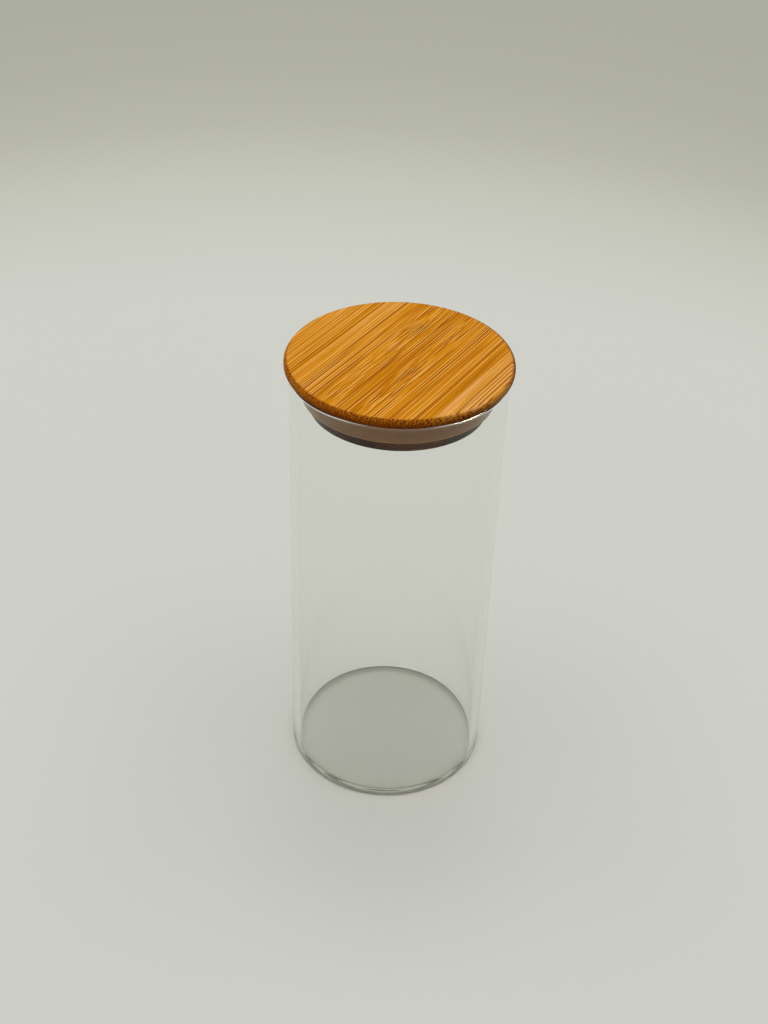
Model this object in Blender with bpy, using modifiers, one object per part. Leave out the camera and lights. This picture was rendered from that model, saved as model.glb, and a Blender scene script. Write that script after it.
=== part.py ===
"""Glass storage jar with a bamboo lid, in metres, +Z up, standing on Z = 0.

A straight-sided glass jar takes a turned bamboo lid. The lid is a thin disc
that rests on the glass rim, a plug glued under it, and a soft ring that sits
round the plug and grips the inside of the mouth. Disc, plug and ring lift off
together, straight up the jar's axis, which is Z.
"""

import math

import bpy

# Sizes of the glass jar
JAR_DIAMETER = 0.085
JAR_HEIGHT = 0.1936
WALL = 0.0032
FLOOR_THICKNESS = 0.0022
BASE_CORNER_RADIUS = 0.001
FLOOR_CORNER_RADIUS = 0.0012
FOOT_WIDTH = 0.003
PUSH_UP_HEIGHT = 0.0006

# Sizes of the lid's wood
LID_OVERHANG = 0.0018
DISC_THICKNESS = 0.0042
DISC_EDGE_RADIUS = 0.0019
PLUG_DEPTH = 0.0148
PLUG_TO_GLASS = 0.0028
PLUG_TAPER = 0.0022
GROOVE_DEPTH = 0.0018
LAND_HEIGHT = 0.0049

# Sizes of the seal ring
SEAL_COLLAR = 0.0014
SEAL_FOOT = 0.0021
SEAL_EDGE_RADIUS = 0.0003
LIP_BAND_HEIGHT = 0.0009
LIP_THICKNESS = 0.0011
LIP_DROP = 0.0018
LIP_ROOT_HEIGHT = 0.0022

# Clearances
SEAT_GAP = 0.0003
GLUE_GAP = 0.0003
SEAL_TO_WOOD = 0.0003
SEAL_TO_GLASS = 0.0003

# Fineness of the turned shapes
TURN_STEPS = 96
ARC_STEPS = 5
SMALL_ARC_STEPS = 3
DOME_STEPS = 4
SMOOTH_ANGLE = math.radians(40)
AXIS_MERGE = 0.00001

# Places that follow from the sizes, with the lid's own heights counted from its seat
GLASS_RADIUS = JAR_DIAMETER / 2
MOUTH_RADIUS = GLASS_RADIUS - WALL
LID_SEAT = JAR_HEIGHT + SEAT_GAP
DISC_RADIUS = GLASS_RADIUS + LID_OVERHANG
PLUG_RADIUS = MOUTH_RADIUS - PLUG_TO_GLASS
GROOVE_RADIUS = PLUG_RADIUS - GROOVE_DEPTH
LAND_TOP = LAND_HEIGHT - PLUG_DEPTH


def arc(centre, radius, start, end, steps):
    """Points of an arc in the plane of radius and height, ends included, between two angles in degrees."""
    points = []
    for step in range(steps + 1):
        angle = math.radians(start + (end - start) * step / steps)
        points.append((centre[0] + radius * math.cos(angle), centre[1] + radius * math.sin(angle)))
    return points


def dome(edge_radius, edge_height, rise):
    """Points of a shallow dome from its edge to the axis."""
    points = []
    for step in range(DOME_STEPS + 1):
        share = 1 - step / DOME_STEPS
        points.append((edge_radius * share, edge_height + rise * (1 - share**2)))
    return points


def principled(name, colour, roughness, transmission=0.0, ior=1.5):
    """A material with one colour and finish."""
    finish = bpy.data.materials.new(name)
    finish.use_nodes = True
    finish.diffuse_color = (*colour, 1.0)
    shader = finish.node_tree.nodes["Principled BSDF"]
    shader.inputs["Base Color"].default_value = (*colour, 1.0)
    shader.inputs["Metallic"].default_value = 0.0
    shader.inputs["Roughness"].default_value = roughness
    shader.inputs["Transmission Weight"].default_value = transmission
    shader.inputs["IOR"].default_value = ior
    return finish


def turned(name, profile, is_ring, finish, collection):
    """A body of revolution about Z. Its profile runs down the outer side, from top to bottom."""
    mesh = bpy.data.meshes.new(name)
    last = len(profile) - 1
    edges = [(index, index + 1) for index in range(last)]
    if is_ring:
        edges.append((last, 0))
    mesh.from_pydata([(radius, 0.0, height) for radius, height in profile], edges, [])
    piece = bpy.data.objects.new(name, mesh)
    collection.objects.link(piece)
    screw = piece.modifiers.new("Turn", "SCREW")
    screw.axis = "Z"
    screw.steps = TURN_STEPS
    screw.render_steps = TURN_STEPS
    screw.use_merge_vertices = True
    screw.merge_threshold = AXIS_MERGE
    with bpy.context.temp_override(object=piece):
        bpy.ops.object.modifier_apply(modifier=screw.name)
    piece.data.shade_smooth()
    piece.data.set_sharp_from_angle(angle=SMOOTH_ANGLE)
    piece.data.materials.append(finish)
    return piece


def glass_jar(collection):
    """The jar: a pushed-up floor, straight wall, round rim, rounded base corner and flat foot ring."""
    floor = dome(MOUTH_RADIUS - FLOOR_CORNER_RADIUS, FLOOR_THICKNESS, PUSH_UP_HEIGHT)
    floor_corner = arc(
        (MOUTH_RADIUS - FLOOR_CORNER_RADIUS, FLOOR_THICKNESS + FLOOR_CORNER_RADIUS),
        FLOOR_CORNER_RADIUS,
        -90,
        0,
        ARC_STEPS,
    )
    rim = arc((MOUTH_RADIUS + WALL / 2, JAR_HEIGHT - WALL / 2), WALL / 2, 180, 0, 2 * SMALL_ARC_STEPS)
    foot_radius = GLASS_RADIUS - BASE_CORNER_RADIUS
    base_corner = arc((foot_radius, BASE_CORNER_RADIUS), BASE_CORNER_RADIUS, 0, -90, ARC_STEPS)
    underside = dome(foot_radius - FOOT_WIDTH, 0.0, PUSH_UP_HEIGHT)
    profile = floor[::-1] + floor_corner[1:] + rim + base_corner + underside
    finish = principled("Clear glass", (0.93, 0.96, 0.93), 0.02, transmission=1.0, ior=1.47)
    return turned("glass_jar", profile, False, finish, collection)


def lid_disc(finish, collection):
    """The disc that covers the mouth, with a round edge all the way."""
    upper = (DISC_RADIUS - DISC_EDGE_RADIUS, DISC_THICKNESS - DISC_EDGE_RADIUS)
    lower = (DISC_RADIUS - DISC_EDGE_RADIUS, DISC_EDGE_RADIUS)
    edge = arc(upper, DISC_EDGE_RADIUS, 90, 0, ARC_STEPS) + arc(lower, DISC_EDGE_RADIUS, 0, -90, ARC_STEPS)
    return turned("lid_disc", [(0.0, DISC_THICKNESS)] + edge + [(0.0, 0.0)], False, finish, collection)


def lid_plug(finish, collection):
    """The plug under the disc, waisted where the seal ring sits, with a land that tapers to its foot."""
    profile = [
        (0.0, -GLUE_GAP),
        (GROOVE_RADIUS, -GLUE_GAP),
        (GROOVE_RADIUS, LAND_TOP),
        (PLUG_RADIUS, LAND_TOP),
        (PLUG_RADIUS - PLUG_TAPER, -PLUG_DEPTH),
        (0.0, -PLUG_DEPTH),
    ]
    return turned("lid_plug", profile, False, finish, collection)


def seal_ring(collection):
    """The soft ring: a collar on the plug and, below it, a lip that flares up and out to the glass."""
    bore = GROOVE_RADIUS + SEAL_TO_WOOD
    top = -SEAL_TO_WOOD
    bottom = LAND_TOP + SEAL_TO_WOOD
    lip_radius = MOUTH_RADIUS - SEAL_TO_GLASS
    lip_top = top - LIP_DROP
    foot_edge = (bore + SEAL_FOOT - SEAL_EDGE_RADIUS, bottom + SEAL_EDGE_RADIUS)
    profile = [
        (lip_radius - LIP_THICKNESS, lip_top),
        *arc((lip_radius - SEAL_EDGE_RADIUS, lip_top - SEAL_EDGE_RADIUS), SEAL_EDGE_RADIUS, 90, 0, SMALL_ARC_STEPS),
        (lip_radius, lip_top - LIP_BAND_HEIGHT),
        *arc(foot_edge, SEAL_EDGE_RADIUS, 0, -90, SMALL_ARC_STEPS),
        (bore, bottom),
        (bore, top),
        (bore + SEAL_COLLAR, top),
        (bore + SEAL_COLLAR, bottom + LIP_ROOT_HEIGHT),
    ]
    finish = principled("Clear silicone", (0.72, 0.68, 0.62), 0.35, transmission=0.5, ior=1.41)
    return turned("seal_ring", profile, True, finish, collection)


def main():
    for existing in list(bpy.data.objects):
        bpy.data.objects.remove(existing)
    jar = bpy.data.collections.new("glass_storage_jar")
    bpy.context.scene.collection.children.link(jar)
    glass_jar(jar)
    lid = bpy.data.objects.new("lid_lift", None)
    lid.location = (0.0, 0.0, LID_SEAT)
    lid.empty_display_size = GLASS_RADIUS
    jar.objects.link(lid)
    bamboo = principled("Bamboo", (0.62, 0.31, 0.06), 0.45)
    for piece in (lid_disc(bamboo, jar), lid_plug(bamboo, jar), seal_ring(jar)):
        piece.parent = lid


main()
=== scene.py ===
"""The looks of a glass storage jar with a bamboo lid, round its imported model. Metres, +Z up."""

import math

import bpy
from mathutils import Matrix, Vector


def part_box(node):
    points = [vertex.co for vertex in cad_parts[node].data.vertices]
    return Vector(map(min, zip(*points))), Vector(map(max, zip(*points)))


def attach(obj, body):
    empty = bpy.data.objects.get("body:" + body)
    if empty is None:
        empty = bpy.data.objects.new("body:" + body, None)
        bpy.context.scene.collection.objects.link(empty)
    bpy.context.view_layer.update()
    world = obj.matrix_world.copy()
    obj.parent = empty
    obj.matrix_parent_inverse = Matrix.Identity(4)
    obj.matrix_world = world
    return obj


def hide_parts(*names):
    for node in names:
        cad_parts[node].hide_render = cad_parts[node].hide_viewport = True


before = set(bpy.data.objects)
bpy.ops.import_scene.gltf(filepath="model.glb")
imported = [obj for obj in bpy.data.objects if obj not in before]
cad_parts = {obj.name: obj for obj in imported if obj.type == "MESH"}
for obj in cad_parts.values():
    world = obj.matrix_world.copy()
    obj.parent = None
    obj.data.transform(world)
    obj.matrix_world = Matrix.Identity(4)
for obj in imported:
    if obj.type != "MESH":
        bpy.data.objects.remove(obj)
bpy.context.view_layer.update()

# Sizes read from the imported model
_, JAR_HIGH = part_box("glass_jar")
DISC_LOW, DISC_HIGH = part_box("lid_disc")
PLUG_LOW, PLUG_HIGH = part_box("lid_plug")
SEAL_LOW, SEAL_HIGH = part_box("seal_ring")
GLASS_RADIUS = JAR_HIGH.x
JAR_HEIGHT = JAR_HIGH.z
DISC_RADIUS = DISC_HIGH.x
PLUG_RADIUS = PLUG_HIGH.x
LIP_RADIUS = SEAL_HIGH.x

# Sizes of the glass
WALL = 0.0032
RIM_EDGE_RADIUS = 0.0016
FLOOR_THICKNESS = 0.0022
BASE_CORNER_RADIUS = 0.001
FLOOR_CORNER_RADIUS = 0.0012
FOOT_WIDTH = 0.003
PUSH_UP_HEIGHT = 0.0006

# Sizes of the wood
DISC_EDGE_RADIUS = 0.0019
PLUG_TAPER = 0.0022
GROOVE_DEPTH = 0.0018
LAND_HEIGHT = 0.0049
WOOD_BREAK = 0.0003
GROOVE_RADIUS = PLUG_RADIUS - GROOVE_DEPTH

# Sizes of the seal ring
SEAL_TO_WOOD = 0.0003
SEAL_COLLAR = 0.0014
SEAL_FOOT = 0.0021
SEAL_EDGE_RADIUS = 0.0003
LIP_BAND_HEIGHT = 0.0009
LIP_THICKNESS = 0.0011
LIP_DROP = 0.0018
LIP_ROOT_HEIGHT = 0.0022
SEAL_BORE = GROOVE_RADIUS + SEAL_TO_WOOD
COLLAR_RADIUS = SEAL_BORE + SEAL_COLLAR

# Fineness of the turned shapes. A support is a ring of points on a flat, close to a curve.
TURN_STEPS = 384
ARC_STEPS = 16
SMALL_ARC_STEPS = 8
BREAK_STEPS = 4
DOME_STEPS = 24
SUPPORT = 0.0003
AXIS_MERGE = 1e-7
SMOOTH_ANGLE = math.radians(30)
FACE_SIZE_WEIGHT = 100

# Grain of the wood
GRAIN_ANGLE = math.radians(59)
PLUG_GRAIN_ANGLE = math.radians(12)
BOARD_WIDTH = 0.09
BUNDLE_PITCH = 0.00076
BUNDLE_SLOPES = 0.09
FIBRE_PITCH = 0.0004
DRIFT_STRETCH = (14.0, 120.0, 120.0)
DRIFT_ACROSS = 0.0009
DRIFT_UP = 0.0011
FIBRE_STRETCH = (30.0, 1 / FIBRE_PITCH, 1 / FIBRE_PITCH)
BAND_STRETCH = (9.0, 900.0, 900.0)
FIBRE_CONTRAST = 1.8
BAND_CONTRAST = 1.1
BAND_OFFSET = -0.56

# Strips of the board, by their place across it: their tone, and the slope of their bundles
STRIP_TONES = (
    (0.0, 0.80),
    (0.13, 0.72),
    (0.16, 0.40),
    (0.27, 0.28),
    (0.36, 0.42),
    (0.47, 0.30),
    (0.58, 0.42),
    (0.66, 0.34),
    (0.70, 0.62),
    (0.78, 0.66),
    (0.81, 0.32),
    (0.90, 0.56),
    (1.0, 0.62),
)
STRIP_SLOPES = (
    (0.0, 0.52),
    (0.20, 0.51),
    (0.32, 0.56),
    (0.40, 1.0),
    (0.50, 0.30),
    (0.58, 0.0),
    (0.66, 0.42),
    (0.75, 0.49),
    (1.0, 0.485),
)

# A bundle's dark core, the pore in its end and the painted highlight beside it, each from full to
# none by the distance from the bundle's middle in pitches
CORE_REACH = (0.22, 0.38)
PORE_REACH = (0.18, 0.36)
GLEAM_REACH = (0.16, 0.32)
GLEAM_OFFSET = -0.00036
GLEAM_SHARE = 0.7
CORE_STRENGTHS = (0.2, 0.8, 0.1, 1.0)

# Colours of the wood, in display values
WOOD_TONES = (
    (0.0, (166, 92, 0)),
    (0.35, (197, 123, 0)),
    (0.65, (208, 138, 30)),
    (1.0, (226, 168, 100)),
)
CORE_COLOUR = (126, 54, 0)
PORE_COLOUR = (70, 20, 0)
GLEAM_COLOUR = (250, 186, 84)
END_GRAIN_COLOUR = (184, 156, 80)
# Painted shade that darkens the edge towards its underside
PAINTED_UNDERSIDE_COLOUR = (176, 140, 110)
# Painted shade on one side of the round edge, and painted light on its other side
PAINTED_SIDE_SHADE_COLOUR = (196, 188, 176)
PAINTED_SIDE_LIGHT_GAIN = (1.35, 1.5, 1.4, 1.0)
# Painted shade over the whole plug, for the low light under the lid
PLUG_PAINTED_SHADE = 0.25

# Where the wood's edge changes, and where painted shade and painted light fall on it: by how far
# a face looks along the grain, up or to one side
END_GRAIN_FACING = (0.04, 0.45)
END_GRAIN_SHARE = 0.9
PAINTED_UNDERSIDE_FACING = (0.96, 0.6)
ROUND_EDGE_FACING = (0.998, 0.93)
PAINTED_SHADE_SIDE = (0.3, 0.7)
PAINTED_LIGHT_SIDE = (-0.5, -0.8)
PAINTED_UNDERSIDE_TOP = 0.0004
PAINTED_UNDERSIDE_BOTTOM = 0.0006

# Look of the glass
GLASS_COLOUR = (0.99, 0.99, 0.988, 1.0)
GLASS_IOR = 1.47
GLASS_REFLECTION = 0.35
WAVE_STRETCH = (60.0, 60.0, 14.0)
WAVE_START = (0.008, 0.03)
STRAIGHT_COLOUR = (0.98, 0.98, 0.975, 1.0)
ABSORBED_COLOUR = (0.60, 0.605, 0.51, 1.0)
ABSORBED_DENSITY = 12.0

# Share of the soft light that passes straight through: less towards the base corner, all above it
BASE_HEIGHTS = (0.0035, 0.007)
BASE_RADII = (0.035, 0.0405)
BASE_SHARES = (0.8, 0.35)

# Look of the silicone, in display values
SILICONE_COLOURS = ((120, 88, 58), (140, 104, 72))
# Painted light that brightens the collar, which sits in shade deep in the groove
COLLAR_PAINTED_LIGHT_COLOUR = (225, 165, 105)
COLLAR_EDGE = (COLLAR_RADIUS + 0.0006, COLLAR_RADIUS + 0.0001)
SILICONE_IOR = 1.41

# Look of the floor: painted shade by the share of its shaded depth, in display values
SHADED_DEPTH = 2.0
FLOOR_BOW = 0.9
FLOOR_SLANT = 0.1
FLOOR_TONES = (
    (0.0, (205, 206, 198)),
    (0.20, (205, 206, 198)),
    (0.243, (201, 202, 193)),
    (0.293, (195, 196, 184)),
    (0.353, (181, 182, 169)),
    (0.423, (174, 175, 161)),
    (0.50, (172, 173, 159)),
    (1.0, (170, 171, 158)),
)
FLOOR_CLOUD_COLOUR = (180, 184, 160)
FLOOR_CLOUD_SHARE = 0.03
FLOOR_REACH = 9.0

# Lamps and the light from all round
OVERHEAD_PLACE = (0.0, 0.3, 3.2)
OVERHEAD_SIZE = (4.2, 2.7)
OVERHEAD_POWER = 57.0
BACK_PLACE = (0.0, 1.0, 3.0)
BACK_SIZE = (0.8, 0.8)
BACK_POWER = 6.2
GLINT_PLACE = (1.9, 0.0, 1.1)
GLINT_TARGET = (0.0, 0.0, 0.19)
GLINT_SIZE = (2.0, 1.4)
GLINT_POWER = 620.0
GLINT_COLOUR = (1.0, 0.77, 0.47)
WORLD_LIGHT = 0.56
BACKDROP_COLOUR = (200, 201, 192)

# Light crosses the thick glass of the base by many reflections
LIGHT_BOUNCES = 40

# Camera of the photograph
FOCAL_SHARE = 1472.348 / 1024
SENSOR = 36.0
NEAR_CLIP = 0.01
PITCH = math.radians(37.075)
ROLL = math.radians(1.94)
CAMERA_PLACE = (-0.0040375, -0.482885, 0.488835)

WHITE = (1.0, 1.0, 1.0)


def rgb(red, green, blue):
    """A colour written in display values, as the linear colour that a shader takes."""
    linear = []
    for value in (red, green, blue):
        share = value / 255
        linear.append(share / 12.92 if share <= 0.04045 else ((share + 0.055) / 1.055) ** 2.4)
    return (*linear, 1.0)


def grey(value):
    return (value, value, value, 1.0)


class Nodes:
    """A node tree, with short calls that add a node and wire its inputs."""

    def __init__(self, tree):
        self.tree = tree
        self.tree.nodes.clear()

    def wire(self, socket, value):
        """Gives an input a number or a colour, or links it to another node's output."""
        if isinstance(value, bpy.types.NodeSocket):
            self.tree.links.new(value, socket)
        else:
            socket.default_value = value

    def add(self, kind, inputs=None, **settings):
        """A new node, with its inputs and settings."""
        node = self.tree.nodes.new(kind)
        for name, value in settings.items():
            setattr(node, name, value)
        for name, value in (inputs or {}).items():
            self.wire(node.inputs[name], value)
        return node

    def math(self, operation, *values, clamp=False):
        inputs = dict(enumerate(values))
        node = self.add("ShaderNodeMath", inputs, operation=operation, use_clamp=clamp)
        return node.outputs[0]

    def vector(self, x, y, z):
        return self.add("ShaderNodeCombineXYZ", {"X": x, "Y": y, "Z": z}).outputs[0]

    def split(self, vector):
        """The three coordinates of a vector."""
        return self.add("ShaderNodeSeparateXYZ", {"Vector": vector}).outputs

    def stretched(self, coordinates, scales):
        """A vector of three coordinates, each times its own scale."""
        pairs = zip(coordinates, scales)
        return self.vector(*(self.math("MULTIPLY", part, scale) for part, scale in pairs))

    def radius(self, vector):
        """The distance of a place from the Z axis."""
        inputs = {0: vector, 1: (1.0, 1.0, 0.0)}
        flat = self.add("ShaderNodeVectorMath", inputs, operation="MULTIPLY").outputs[0]
        length = self.add("ShaderNodeVectorMath", {0: flat}, operation="LENGTH")
        return length.outputs["Value"]

    def noise(self, vector, scale=1.0, detail=2.0, roughness=0.5):
        """Noise of the three coordinates, from 0 to 1."""
        inputs = {"Vector": vector, "Scale": scale, "Detail": detail, "Roughness": roughness}
        return self.add("ShaderNodeTexNoise", inputs).outputs[0]

    def remap(self, value, low, high, start=0.0, end=1.0, kind="SMOOTHSTEP"):
        """A value taken from one range to another, and held at its ends."""
        inputs = {
            "Value": value,
            "From Min": low,
            "From Max": high,
            "To Min": start,
            "To Max": end,
        }
        return self.add("ShaderNodeMapRange", inputs, interpolation_type=kind).outputs[0]

    def mix(self, share, first, second, blend="MIX"):
        """A mix of two colours, by a share from 0 to 1."""
        node = self.add("ShaderNodeMix", data_type="RGBA", blend_type=blend)
        sockets = (node.inputs[0], node.inputs[6], node.inputs[7])
        for socket, value in zip(sockets, (share, first, second)):
            self.wire(socket, value)
        return node.outputs[2]

    def ramp(self, value, stops, interpolation="LINEAR"):
        """A colour picked from the stops, each a place from 0 to 1 and a colour."""
        node = self.add("ShaderNodeValToRGB", {"Fac": value})
        band = node.color_ramp
        band.interpolation = interpolation
        while len(band.elements) < len(stops):
            band.elements.new(1.0)
        for element, (place, colour) in zip(band.elements, stops):
            element.position = place
            element.color = colour
        return node.outputs[0]

    def bump(self, relief, strength, distance):
        """Normals that follow a relief."""
        inputs = {"Height": relief, "Strength": strength, "Distance": distance}
        return self.add("ShaderNodeBump", inputs).outputs[0]

    def principled(self, inputs):
        return self.add("ShaderNodeBsdfPrincipled", inputs).outputs[0]

    def output(self, surface, kind="ShaderNodeOutputMaterial"):
        return self.add(kind, {"Surface": surface})


def new_material(name):
    material = bpy.data.materials.new(name)
    material.use_nodes = True
    return material, Nodes(material.node_tree)


# Shapes


def arc(centre, radius, start, end, steps=ARC_STEPS):
    """Points of an arc in the plane of radius and height, between two angles in degrees."""
    points = []
    for step in range(steps + 1):
        angle = math.radians(start + (end - start) * step / steps)
        across = centre[0] + radius * math.cos(angle)
        points.append((across, centre[1] + radius * math.sin(angle)))
    return points


def dome(edge_radius, edge_height, rise):
    """Points of a shallow dome from its edge to the axis."""
    points = []
    for step in range(DOME_STEPS + 1):
        share = 1 - step / DOME_STEPS
        points.append((edge_radius * share, edge_height + rise * (1 - share**2)))
    return points


def broken_corner(before, corner, after):
    """Points that round a sanded corner of a profile, in place of the corner."""
    middle = Vector(corner)
    first = middle + (Vector(before) - middle).normalized() * WOOD_BREAK
    last = middle + (Vector(after) - middle).normalized() * WOOD_BREAK
    points = []
    for step in range(BREAK_STEPS + 1):
        share = step / BREAK_STEPS
        point = first * (1 - share) ** 2 + middle * 2 * share * (1 - share) + last * share**2
        points.append(tuple(point))
    return points


def turned(name, profile, is_ring, material):
    """A body of revolution about Z. Its profile runs down the outer side, from top to bottom."""
    mesh = bpy.data.meshes.new(name)
    vertices = []
    rings = []
    for radius, height in profile:
        if radius < AXIS_MERGE:
            rings.append([len(vertices)] * TURN_STEPS)
            vertices.append((0.0, 0.0, height))
            continue
        rings.append(list(range(len(vertices), len(vertices) + TURN_STEPS)))
        for step in range(TURN_STEPS):
            angle = math.tau * step / TURN_STEPS
            vertices.append((radius * math.cos(angle), radius * math.sin(angle), height))
    pairs = list(zip(rings, rings[1:]))
    if is_ring:
        pairs.append((rings[-1], rings[0]))
    faces = []
    for upper, lower in pairs:
        for step in range(TURN_STEPS):
            after = (step + 1) % TURN_STEPS
            loop = [upper[step], lower[step], lower[after], upper[after]]
            faces.append(list(dict.fromkeys(loop)))
    mesh.from_pydata(vertices, [], faces)
    mesh.update()
    piece = bpy.data.objects.new(name, mesh)
    bpy.context.scene.collection.objects.link(piece)
    mesh.shade_smooth()
    mesh.set_sharp_from_angle(angle=SMOOTH_ANGLE)
    normals = piece.modifiers.new("Even shading", "WEIGHTED_NORMAL")
    normals.weight = FACE_SIZE_WEIGHT
    normals.keep_sharp = True
    mesh.materials.append(material)
    return piece


def glass_body(material):
    """The jar's glass, with its round rim, rounded base corner and pushed-up floor."""
    mouth_radius = GLASS_RADIUS - WALL
    inner_radius = mouth_radius - FLOOR_CORNER_RADIUS
    foot_radius = GLASS_RADIUS - BASE_CORNER_RADIUS
    corner_height = FLOOR_THICKNESS + FLOOR_CORNER_RADIUS
    inner_edge = WALL - RIM_EDGE_RADIUS
    rim_middle = mouth_radius + inner_edge
    inner_rim_height = JAR_HEIGHT - inner_edge
    outer_rim_height = JAR_HEIGHT - RIM_EDGE_RADIUS
    floor_dome = dome(inner_radius, FLOOR_THICKNESS, PUSH_UP_HEIGHT)
    floor_corner = arc((inner_radius, corner_height), FLOOR_CORNER_RADIUS, -90, 0)
    inner_rim = arc((rim_middle, inner_rim_height), inner_edge, 180, 90)
    outer_rim = arc((rim_middle, outer_rim_height), RIM_EDGE_RADIUS, 90, 0, 2 * ARC_STEPS)
    base_corner = arc((foot_radius, BASE_CORNER_RADIUS), BASE_CORNER_RADIUS, 0, -90)
    profile = [
        *floor_dome[::-1],
        *floor_corner[1:],
        (mouth_radius, corner_height + SUPPORT),
        (mouth_radius, inner_rim_height - SUPPORT),
        *inner_rim,
        *outer_rim[1:],
        (GLASS_RADIUS, outer_rim_height - SUPPORT),
        (GLASS_RADIUS, BASE_CORNER_RADIUS + SUPPORT),
        *base_corner,
        *dome(foot_radius - FOOT_WIDTH, 0.0, PUSH_UP_HEIGHT),
    ]
    return turned("glass_body", profile, False, material)


def bamboo_disc(material):
    """The lid's disc, with a round edge."""
    top = DISC_HIGH.z
    bottom = DISC_LOW.z
    flat_radius = DISC_RADIUS - DISC_EDGE_RADIUS
    profile = [
        (0.0, top),
        (flat_radius - SUPPORT, top),
        *arc((flat_radius, top - DISC_EDGE_RADIUS), DISC_EDGE_RADIUS, 90, 0),
        *arc((flat_radius, bottom + DISC_EDGE_RADIUS), DISC_EDGE_RADIUS, 0, -90),
        (flat_radius - SUPPORT, bottom),
        (0.0, bottom),
    ]
    return turned("bamboo_disc", profile, False, material)


def bamboo_plug(material):
    """The plug, waisted for the seal ring, its corners eased by sanding."""
    top = PLUG_HIGH.z
    bottom = PLUG_LOW.z
    land = bottom + LAND_HEIGHT
    waist = (GROOVE_RADIUS, land)
    shoulder = (PLUG_RADIUS, land)
    foot = (PLUG_RADIUS - PLUG_TAPER, bottom)
    middle = (0.0, bottom)
    profile = [
        (0.0, top),
        (GROOVE_RADIUS, top),
        waist,
        *broken_corner(waist, shoulder, foot),
        *broken_corner(shoulder, foot, middle),
        middle,
    ]
    return turned("bamboo_plug", profile, False, material)


def silicone_ring(material):
    """The seal: a collar on the plug and a lip that flares up and out to the glass."""
    top = SEAL_HIGH.z
    bottom = SEAL_LOW.z
    lip_top = top - LIP_DROP

    def edge(radius, height, start, end):
        return arc((radius, height), SEAL_EDGE_RADIUS, start, end, SMALL_ARC_STEPS)

    profile = [
        (LIP_RADIUS - LIP_THICKNESS, lip_top),
        *edge(LIP_RADIUS - SEAL_EDGE_RADIUS, lip_top - SEAL_EDGE_RADIUS, 90, 0),
        (LIP_RADIUS, lip_top - LIP_BAND_HEIGHT),
        *edge(SEAL_BORE + SEAL_FOOT - SEAL_EDGE_RADIUS, bottom + SEAL_EDGE_RADIUS, 0, -90),
        (SEAL_BORE, bottom),
        (SEAL_BORE, top),
        *edge(COLLAR_RADIUS - SEAL_EDGE_RADIUS, top - SEAL_EDGE_RADIUS, 90, 0),
        (COLLAR_RADIUS, bottom + LIP_ROOT_HEIGHT),
    ]
    return turned("silicone_ring", profile, True, material)


# Finishes


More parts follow.
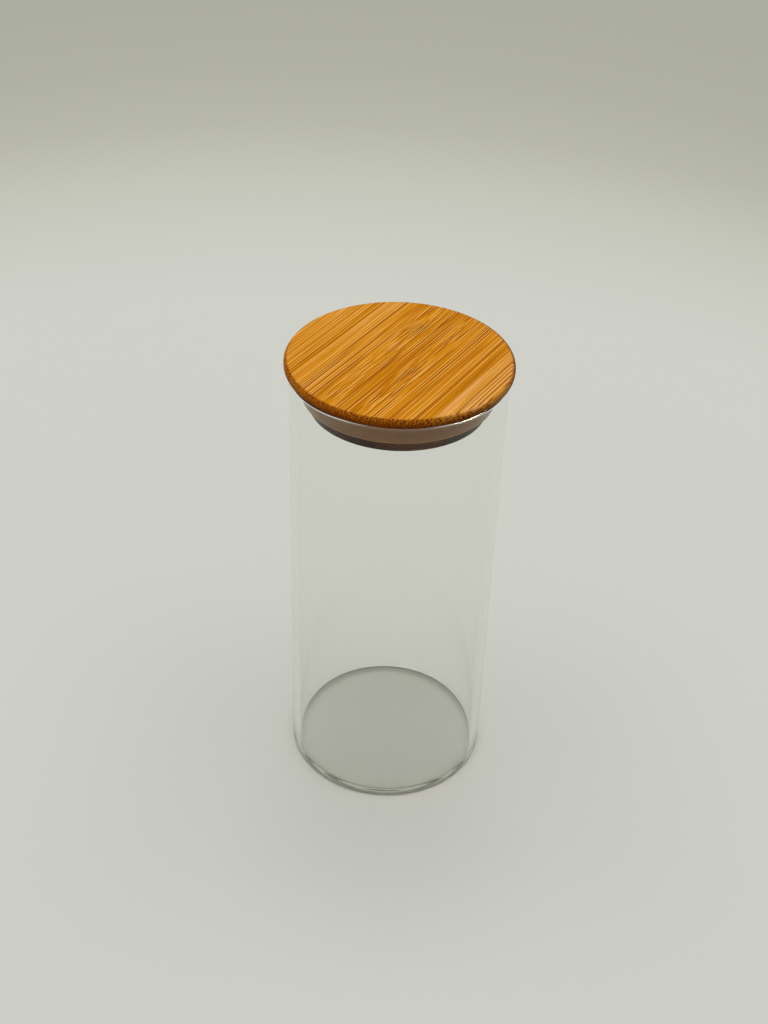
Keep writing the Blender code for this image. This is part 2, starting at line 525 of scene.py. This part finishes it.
def bamboo(name, grain_angle, painted_shade, lowest, highest):
    """Laminated bamboo: strips of slightly different tone, fine fibres, and darker fibre bundles.

    The bundles run along the grain through the whole solid, so that a face cut along them shows
    lines and dashes, and a face cut across them shows dots.
    """
    material, nodes = new_material(name)
    coordinates = nodes.add("ShaderNodeTexCoord").outputs
    turn = {"Vector": coordinates["Object"], "Rotation": (0, 0, -grain_angle)}
    along, across, height = nodes.split(nodes.add("ShaderNodeMapping", turn).outputs[0])

    # Strips across the grain, each with its own tone and its own slope of the bundles
    place = nodes.math("MULTIPLY_ADD", across, 1 / BOARD_WIDTH, 0.5)
    tone = nodes.ramp(place, [(spot, grey(value)) for spot, value in STRIP_TONES], "EASE")
    slope = nodes.ramp(place, [(spot, grey(value)) for spot, value in STRIP_SLOPES], "EASE")
    slope = nodes.math("MULTIPLY_ADD", slope, BUNDLE_SLOPES, -BUNDLE_SLOPES / 2)

    # Bundles wander a little as they run
    drift = nodes.noise(nodes.stretched((along, across, height), DRIFT_STRETCH), detail=1.0)
    drift = nodes.math("SUBTRACT", drift, 0.5)
    sideways = nodes.math("MULTIPLY_ADD", drift, DRIFT_ACROSS, across)
    sloped = nodes.math("MULTIPLY_ADD", along, slope, height)
    sloped = nodes.math("MULTIPLY_ADD", drift, DRIFT_UP, sloped)

    def bundles(offset):
        spot = nodes.vector(nodes.math("ADD", sideways, offset), sloped, 0.0)
        inputs = {"Vector": spot, "Scale": 1 / BUNDLE_PITCH, "Randomness": 1.0}
        return nodes.add("ShaderNodeTexVoronoi", inputs, voronoi_dimensions="2D").outputs

    cell = bundles(0.0)
    core = nodes.remap(cell["Distance"], *CORE_REACH, 1.0, 0.0)
    own = nodes.add("ShaderNodeSeparateColor", {"Color": cell["Color"]}).outputs[0]
    core = nodes.math("MULTIPLY", core, nodes.remap(own, *CORE_STRENGTHS, "LINEAR"))
    pore = nodes.remap(cell["Distance"], *PORE_REACH, 1.0, 0.0)
    gleam = nodes.remap(bundles(GLEAM_OFFSET)["Distance"], *GLEAM_REACH, 1.0, 0.0)

    # Fine fibres and wider bands of tone
    run = (along, sideways, height)
    fine = nodes.noise(nodes.stretched(run, FIBRE_STRETCH), detail=3.0, roughness=0.6)
    wide = nodes.noise(nodes.stretched(run, BAND_STRETCH), detail=2.0)
    banded = nodes.math("MULTIPLY_ADD", wide, BAND_CONTRAST, BAND_OFFSET)
    fibred = nodes.math("MULTIPLY_ADD", fine, FIBRE_CONTRAST, -FIBRE_CONTRAST / 2)
    share = nodes.math("ADD", nodes.math("ADD", tone, banded), fibred, clamp=True)
    colour = nodes.ramp(share, [(spot, rgb(*value)) for spot, value in WOOD_TONES])
    # Painted highlight beside each bundle, where its relief would catch the light
    gleam = nodes.math("MULTIPLY", gleam, GLEAM_SHARE)
    colour = nodes.mix(gleam, colour, rgb(*GLEAM_COLOUR))
    colour = nodes.mix(core, colour, rgb(*CORE_COLOUR))

    # End grain drinks more oil and shows the pores
    grain = (math.cos(grain_angle), math.sin(grain_angle), 0.0)
    inputs = {0: coordinates["Normal"], 1: grain}
    facing = nodes.add("ShaderNodeVectorMath", inputs, operation="DOT_PRODUCT").outputs["Value"]
    end_grain = nodes.remap(nodes.math("ABSOLUTE", facing), *END_GRAIN_FACING)
    oiled = nodes.math("MULTIPLY", end_grain, END_GRAIN_SHARE)
    colour = nodes.mix(oiled, colour, rgb(*END_GRAIN_COLOUR), "MULTIPLY")
    colour = nodes.mix(nodes.math("MULTIPLY", end_grain, pore), colour, rgb(*PORE_COLOUR))

    # Painted shade: the edge is browner towards its underside
    normal_across, _, normal_up = nodes.split(coordinates["Normal"])
    low = nodes.remap(height, highest - PAINTED_UNDERSIDE_TOP, lowest + PAINTED_UNDERSIDE_BOTTOM)
    painted_underside = nodes.math("MULTIPLY", low, nodes.remap(normal_up, *PAINTED_UNDERSIDE_FACING))
    colour = nodes.mix(painted_underside, colour, rgb(*PAINTED_UNDERSIDE_COLOUR), "MULTIPLY")

    # Painted shade darkens the round edge on one side of the board, and painted light brightens
    # it on the other
    edge = nodes.remap(normal_up, *ROUND_EDGE_FACING)
    painted_side_shade = nodes.math("MULTIPLY", edge, nodes.remap(normal_across, *PAINTED_SHADE_SIDE))
    colour = nodes.mix(painted_side_shade, colour, rgb(*PAINTED_SIDE_SHADE_COLOUR), "MULTIPLY")
    painted_side_light = nodes.math("MULTIPLY", edge, nodes.remap(normal_across, *PAINTED_LIGHT_SIDE))
    colour = nodes.mix(painted_side_light, colour, PAINTED_SIDE_LIGHT_GAIN, "MULTIPLY")
    # Painted shade: darkens the whole piece by this share, which is none for the disc
    colour = nodes.mix(1.0, colour, grey(painted_shade), "MULTIPLY")

    relief = nodes.math("MULTIPLY_ADD", fine, 0.35, nodes.math("MULTIPLY", core, -0.3))
    surface = nodes.principled(
        {
            "Base Color": colour,
            "Roughness": nodes.math("MULTIPLY_ADD", fine, 0.16, 0.42),
            "Specular IOR Level": 0.03,
            "Normal": nodes.bump(relief, strength=0.2, distance=0.0001),
        }
    )
    nodes.output(surface)
    return material


def clear_glass():
    """Clear glass with a faint unevenness, that lets part of the soft light straight through."""
    material, nodes = new_material("Clear glass")
    coordinates = nodes.add("ShaderNodeTexCoord").outputs["Object"]
    place = nodes.split(coordinates)
    height = place[2]
    waves = nodes.noise(nodes.stretched(place, WAVE_STRETCH), detail=1.0)
    unevenness = nodes.math("MULTIPLY", waves, nodes.remap(height, *WAVE_START))
    surface = nodes.principled(
        {
            "Base Color": GLASS_COLOUR,
            "Roughness": 0.0,
            "IOR": GLASS_IOR,
            "Specular Tint": grey(GLASS_REFLECTION),
            "Transmission Weight": 1.0,
            "Normal": nodes.bump(unevenness, strength=0.04, distance=0.0002),
        }
    )
    straight = nodes.add("ShaderNodeBsdfTransparent", {"Color": STRAIGHT_COLOUR}).outputs[0]
    path = nodes.add("ShaderNodeLightPath").outputs
    soft_ray = nodes.math("MAXIMUM", path["Is Shadow Ray"], path["Is Diffuse Ray"])
    above_base = nodes.remap(height, *BASE_HEIGHTS)
    in_base = nodes.remap(nodes.radius(coordinates), *BASE_RADII, *BASE_SHARES)
    through = nodes.math("MULTIPLY", soft_ray, nodes.math("MAXIMUM", above_base, in_base))
    mixed = nodes.add("ShaderNodeMixShader", {0: through, 1: surface, 2: straight}).outputs[0]
    absorption = {"Color": ABSORBED_COLOUR, "Density": ABSORBED_DENSITY}
    absorbed = nodes.add("ShaderNodeVolumeAbsorption", absorption).outputs[0]
    nodes.wire(nodes.output(mixed).inputs["Volume"], absorbed)
    return material


def silicone():
    """Translucent silicone, a little uneven, with painted light that makes the collar round the
    plug paler.
    """
    material, nodes = new_material("Translucent silicone")
    coordinates = nodes.add("ShaderNodeTexCoord").outputs["Object"]
    cloud = nodes.noise(coordinates, scale=260.0, detail=3.0)
    grain = nodes.noise(coordinates, scale=2400.0, detail=2.0)
    colour = nodes.mix(cloud, *(rgb(*value) for value in SILICONE_COLOURS))
    # Painted light on the collar, deep in the groove under the lid
    collar = nodes.remap(nodes.radius(coordinates), *COLLAR_EDGE)
    colour = nodes.mix(collar, colour, rgb(*COLLAR_PAINTED_LIGHT_COLOUR))
    surface = nodes.principled(
        {
            "Base Color": colour,
            "Roughness": nodes.math("MULTIPLY_ADD", cloud, 0.2, 0.3),
            "IOR": SILICONE_IOR,
            "Specular IOR Level": 0.1,
            "Subsurface Weight": 1.0,
            "Subsurface Radius": (1.0, 0.7, 0.45),
            "Subsurface Scale": 0.004,
            "Normal": nodes.bump(grain, strength=0.2, distance=0.00005),
        }
    )
    nodes.output(surface)
    return material


def pale_floor():
    """A pale matt floor with painted shade that grows darker far behind the jar."""
    material, nodes = new_material("Pale floor")
    coordinates = nodes.add("ShaderNodeTexCoord").outputs["Object"]
    sideways, back, _ = nodes.split(coordinates)
    bow = nodes.math("MULTIPLY_ADD", sideways, FLOOR_BOW, FLOOR_SLANT)
    depth = nodes.math("ADD", back, nodes.math("MULTIPLY", bow, sideways))
    share = nodes.math("DIVIDE", depth, SHADED_DEPTH)
    colour = nodes.ramp(share, [(spot, rgb(*value)) for spot, value in FLOOR_TONES])
    cloud = nodes.noise(coordinates, scale=9.0, detail=3.0)
    cloud = nodes.math("MULTIPLY", cloud, FLOOR_CLOUD_SHARE)
    colour = nodes.mix(cloud, colour, rgb(*FLOOR_CLOUD_COLOUR))
    matt = {"Base Color": colour, "Roughness": 0.9, "Specular IOR Level": 0.1}
    nodes.output(nodes.principled(matt))
    return material


# Stage


def studio_floor():
    """The table and the background, as one flat sheet."""
    mesh = bpy.data.meshes.new("studio_floor")
    near, far = -FLOOR_REACH, FLOOR_REACH
    corners = [(near, near, 0.0), (far, near, 0.0), (far, far, 0.0), (near, far, 0.0)]
    mesh.from_pydata(corners, [], [(0, 1, 2, 3)])
    ground = bpy.data.objects.new("studio_floor", mesh)
    bpy.context.scene.collection.objects.link(ground)
    mesh.materials.append(pale_floor())


def softbox(name, place, size, power, target=(0.0, 0.0, 0.0), colour=WHITE):
    """A soft rectangular lamp that faces a point."""
    light = bpy.data.lights.new(name, "AREA")
    light.shape = "RECTANGLE"
    light.size, light.size_y = size
    light.energy = power
    light.color = colour
    lamp = bpy.data.objects.new(name, light)
    bpy.context.scene.collection.objects.link(lamp)
    lamp.location = place
    lamp.rotation_euler = (Vector(target) - Vector(place)).to_track_quat("-Z", "Y").to_euler()
    return lamp


def overhead_lamps():
    """The soft light from above, which isn't seen through the glass."""
    overhead = softbox("overhead", OVERHEAD_PLACE, OVERHEAD_SIZE, OVERHEAD_POWER)
    overhead.visible_transmission = False
    back = softbox("overhead_back", BACK_PLACE, BACK_SIZE, BACK_POWER)
    back.visible_glossy = False
    back.visible_transmission = False


def glint(name, glass):
    """A window to the right that shows only as a highlight on the glass."""
    window = softbox(name, GLINT_PLACE, GLINT_SIZE, GLINT_POWER, GLINT_TARGET, GLINT_COLOUR)
    window.visible_diffuse = False
    window.visible_transmission = False
    lit = bpy.data.collections.new("lit by " + name)
    lit.objects.link(glass)
    window.light_linking.receiver_collection = lit


def studio_world():
    """Even light from all round, which shows as the pale background."""
    world = bpy.data.worlds.new("Studio")
    world.use_nodes = True
    bpy.context.scene.world = world
    nodes = Nodes(world.node_tree)
    path = nodes.add("ShaderNodeLightPath").outputs
    seen = nodes.math("MAXIMUM", path["Is Camera Ray"], path["Is Glossy Ray"])
    seen = nodes.math("MAXIMUM", seen, path["Is Transmission Ray"])
    even = {"Color": grey(1.0), "Strength": WORLD_LIGHT}
    plain = {"Color": rgb(*BACKDROP_COLOUR), "Strength": 1.0}
    light = nodes.add("ShaderNodeBackground", even).outputs[0]
    backdrop = nodes.add("ShaderNodeBackground", plain).outputs[0]
    both = nodes.add("ShaderNodeMixShader", {0: seen, 1: light, 2: backdrop}).outputs[0]
    nodes.output(both, "ShaderNodeOutputWorld")


def camera():
    """The camera of the photograph, turned a little about its own axis."""
    forward = Vector((0.0, math.cos(PITCH), -math.sin(PITCH)))
    level_up = Vector((0.0, math.sin(PITCH), math.cos(PITCH)))
    level_right = Vector((1.0, 0.0, 0.0))
    right = math.cos(ROLL) * level_right + math.sin(ROLL) * level_up
    up = math.cos(ROLL) * level_up - math.sin(ROLL) * level_right
    lens = bpy.data.cameras.new("photo_camera")
    lens.sensor_width = SENSOR
    lens.lens = FOCAL_SHARE * SENSOR
    lens.clip_start = NEAR_CLIP
    viewer = bpy.data.objects.new("photo_camera", lens)
    place = Matrix((right, up, -forward)).transposed().to_4x4()
    place.translation = Vector(CAMERA_PLACE)
    viewer.matrix_world = place
    bpy.context.scene.collection.objects.link(viewer)
    bpy.context.scene.camera = viewer


def dress():
    """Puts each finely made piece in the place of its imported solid. Gives back the glass."""
    disc_wood = bamboo("Bamboo disc", GRAIN_ANGLE, 1.0, DISC_LOW.z, DISC_HIGH.z)
    plug_wood = bamboo("Bamboo plug", PLUG_GRAIN_ANGLE, PLUG_PAINTED_SHADE, PLUG_LOW.z, PLUG_HIGH.z)
    pieces = [
        (glass_body(clear_glass()), "glass_jar", "jar", "glass"),
        (bamboo_disc(disc_wood), "lid_disc", "lid", "bamboo"),
        (bamboo_plug(plug_wood), "lid_plug", "lid", "bamboo"),
        (silicone_ring(silicone()), "seal_ring", "lid", "silicone"),
    ]
    for piece, node, body, slot in pieces:
        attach(piece, body)
        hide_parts(node)
    return pieces[0][0]


bpy.context.scene.view_settings.view_transform = "Standard"
bpy.context.scene.cycles.max_bounces = LIGHT_BOUNCES
bpy.context.scene.cycles.glossy_bounces = LIGHT_BOUNCES
bpy.context.scene.cycles.transmission_bounces = LIGHT_BOUNCES
bpy.context.scene.cycles.blur_glossy = 0.0
camera()
jar_glass = dress()
studio_floor()
overhead_lamps()
glint("rim_glint", jar_glass)
studio_world()
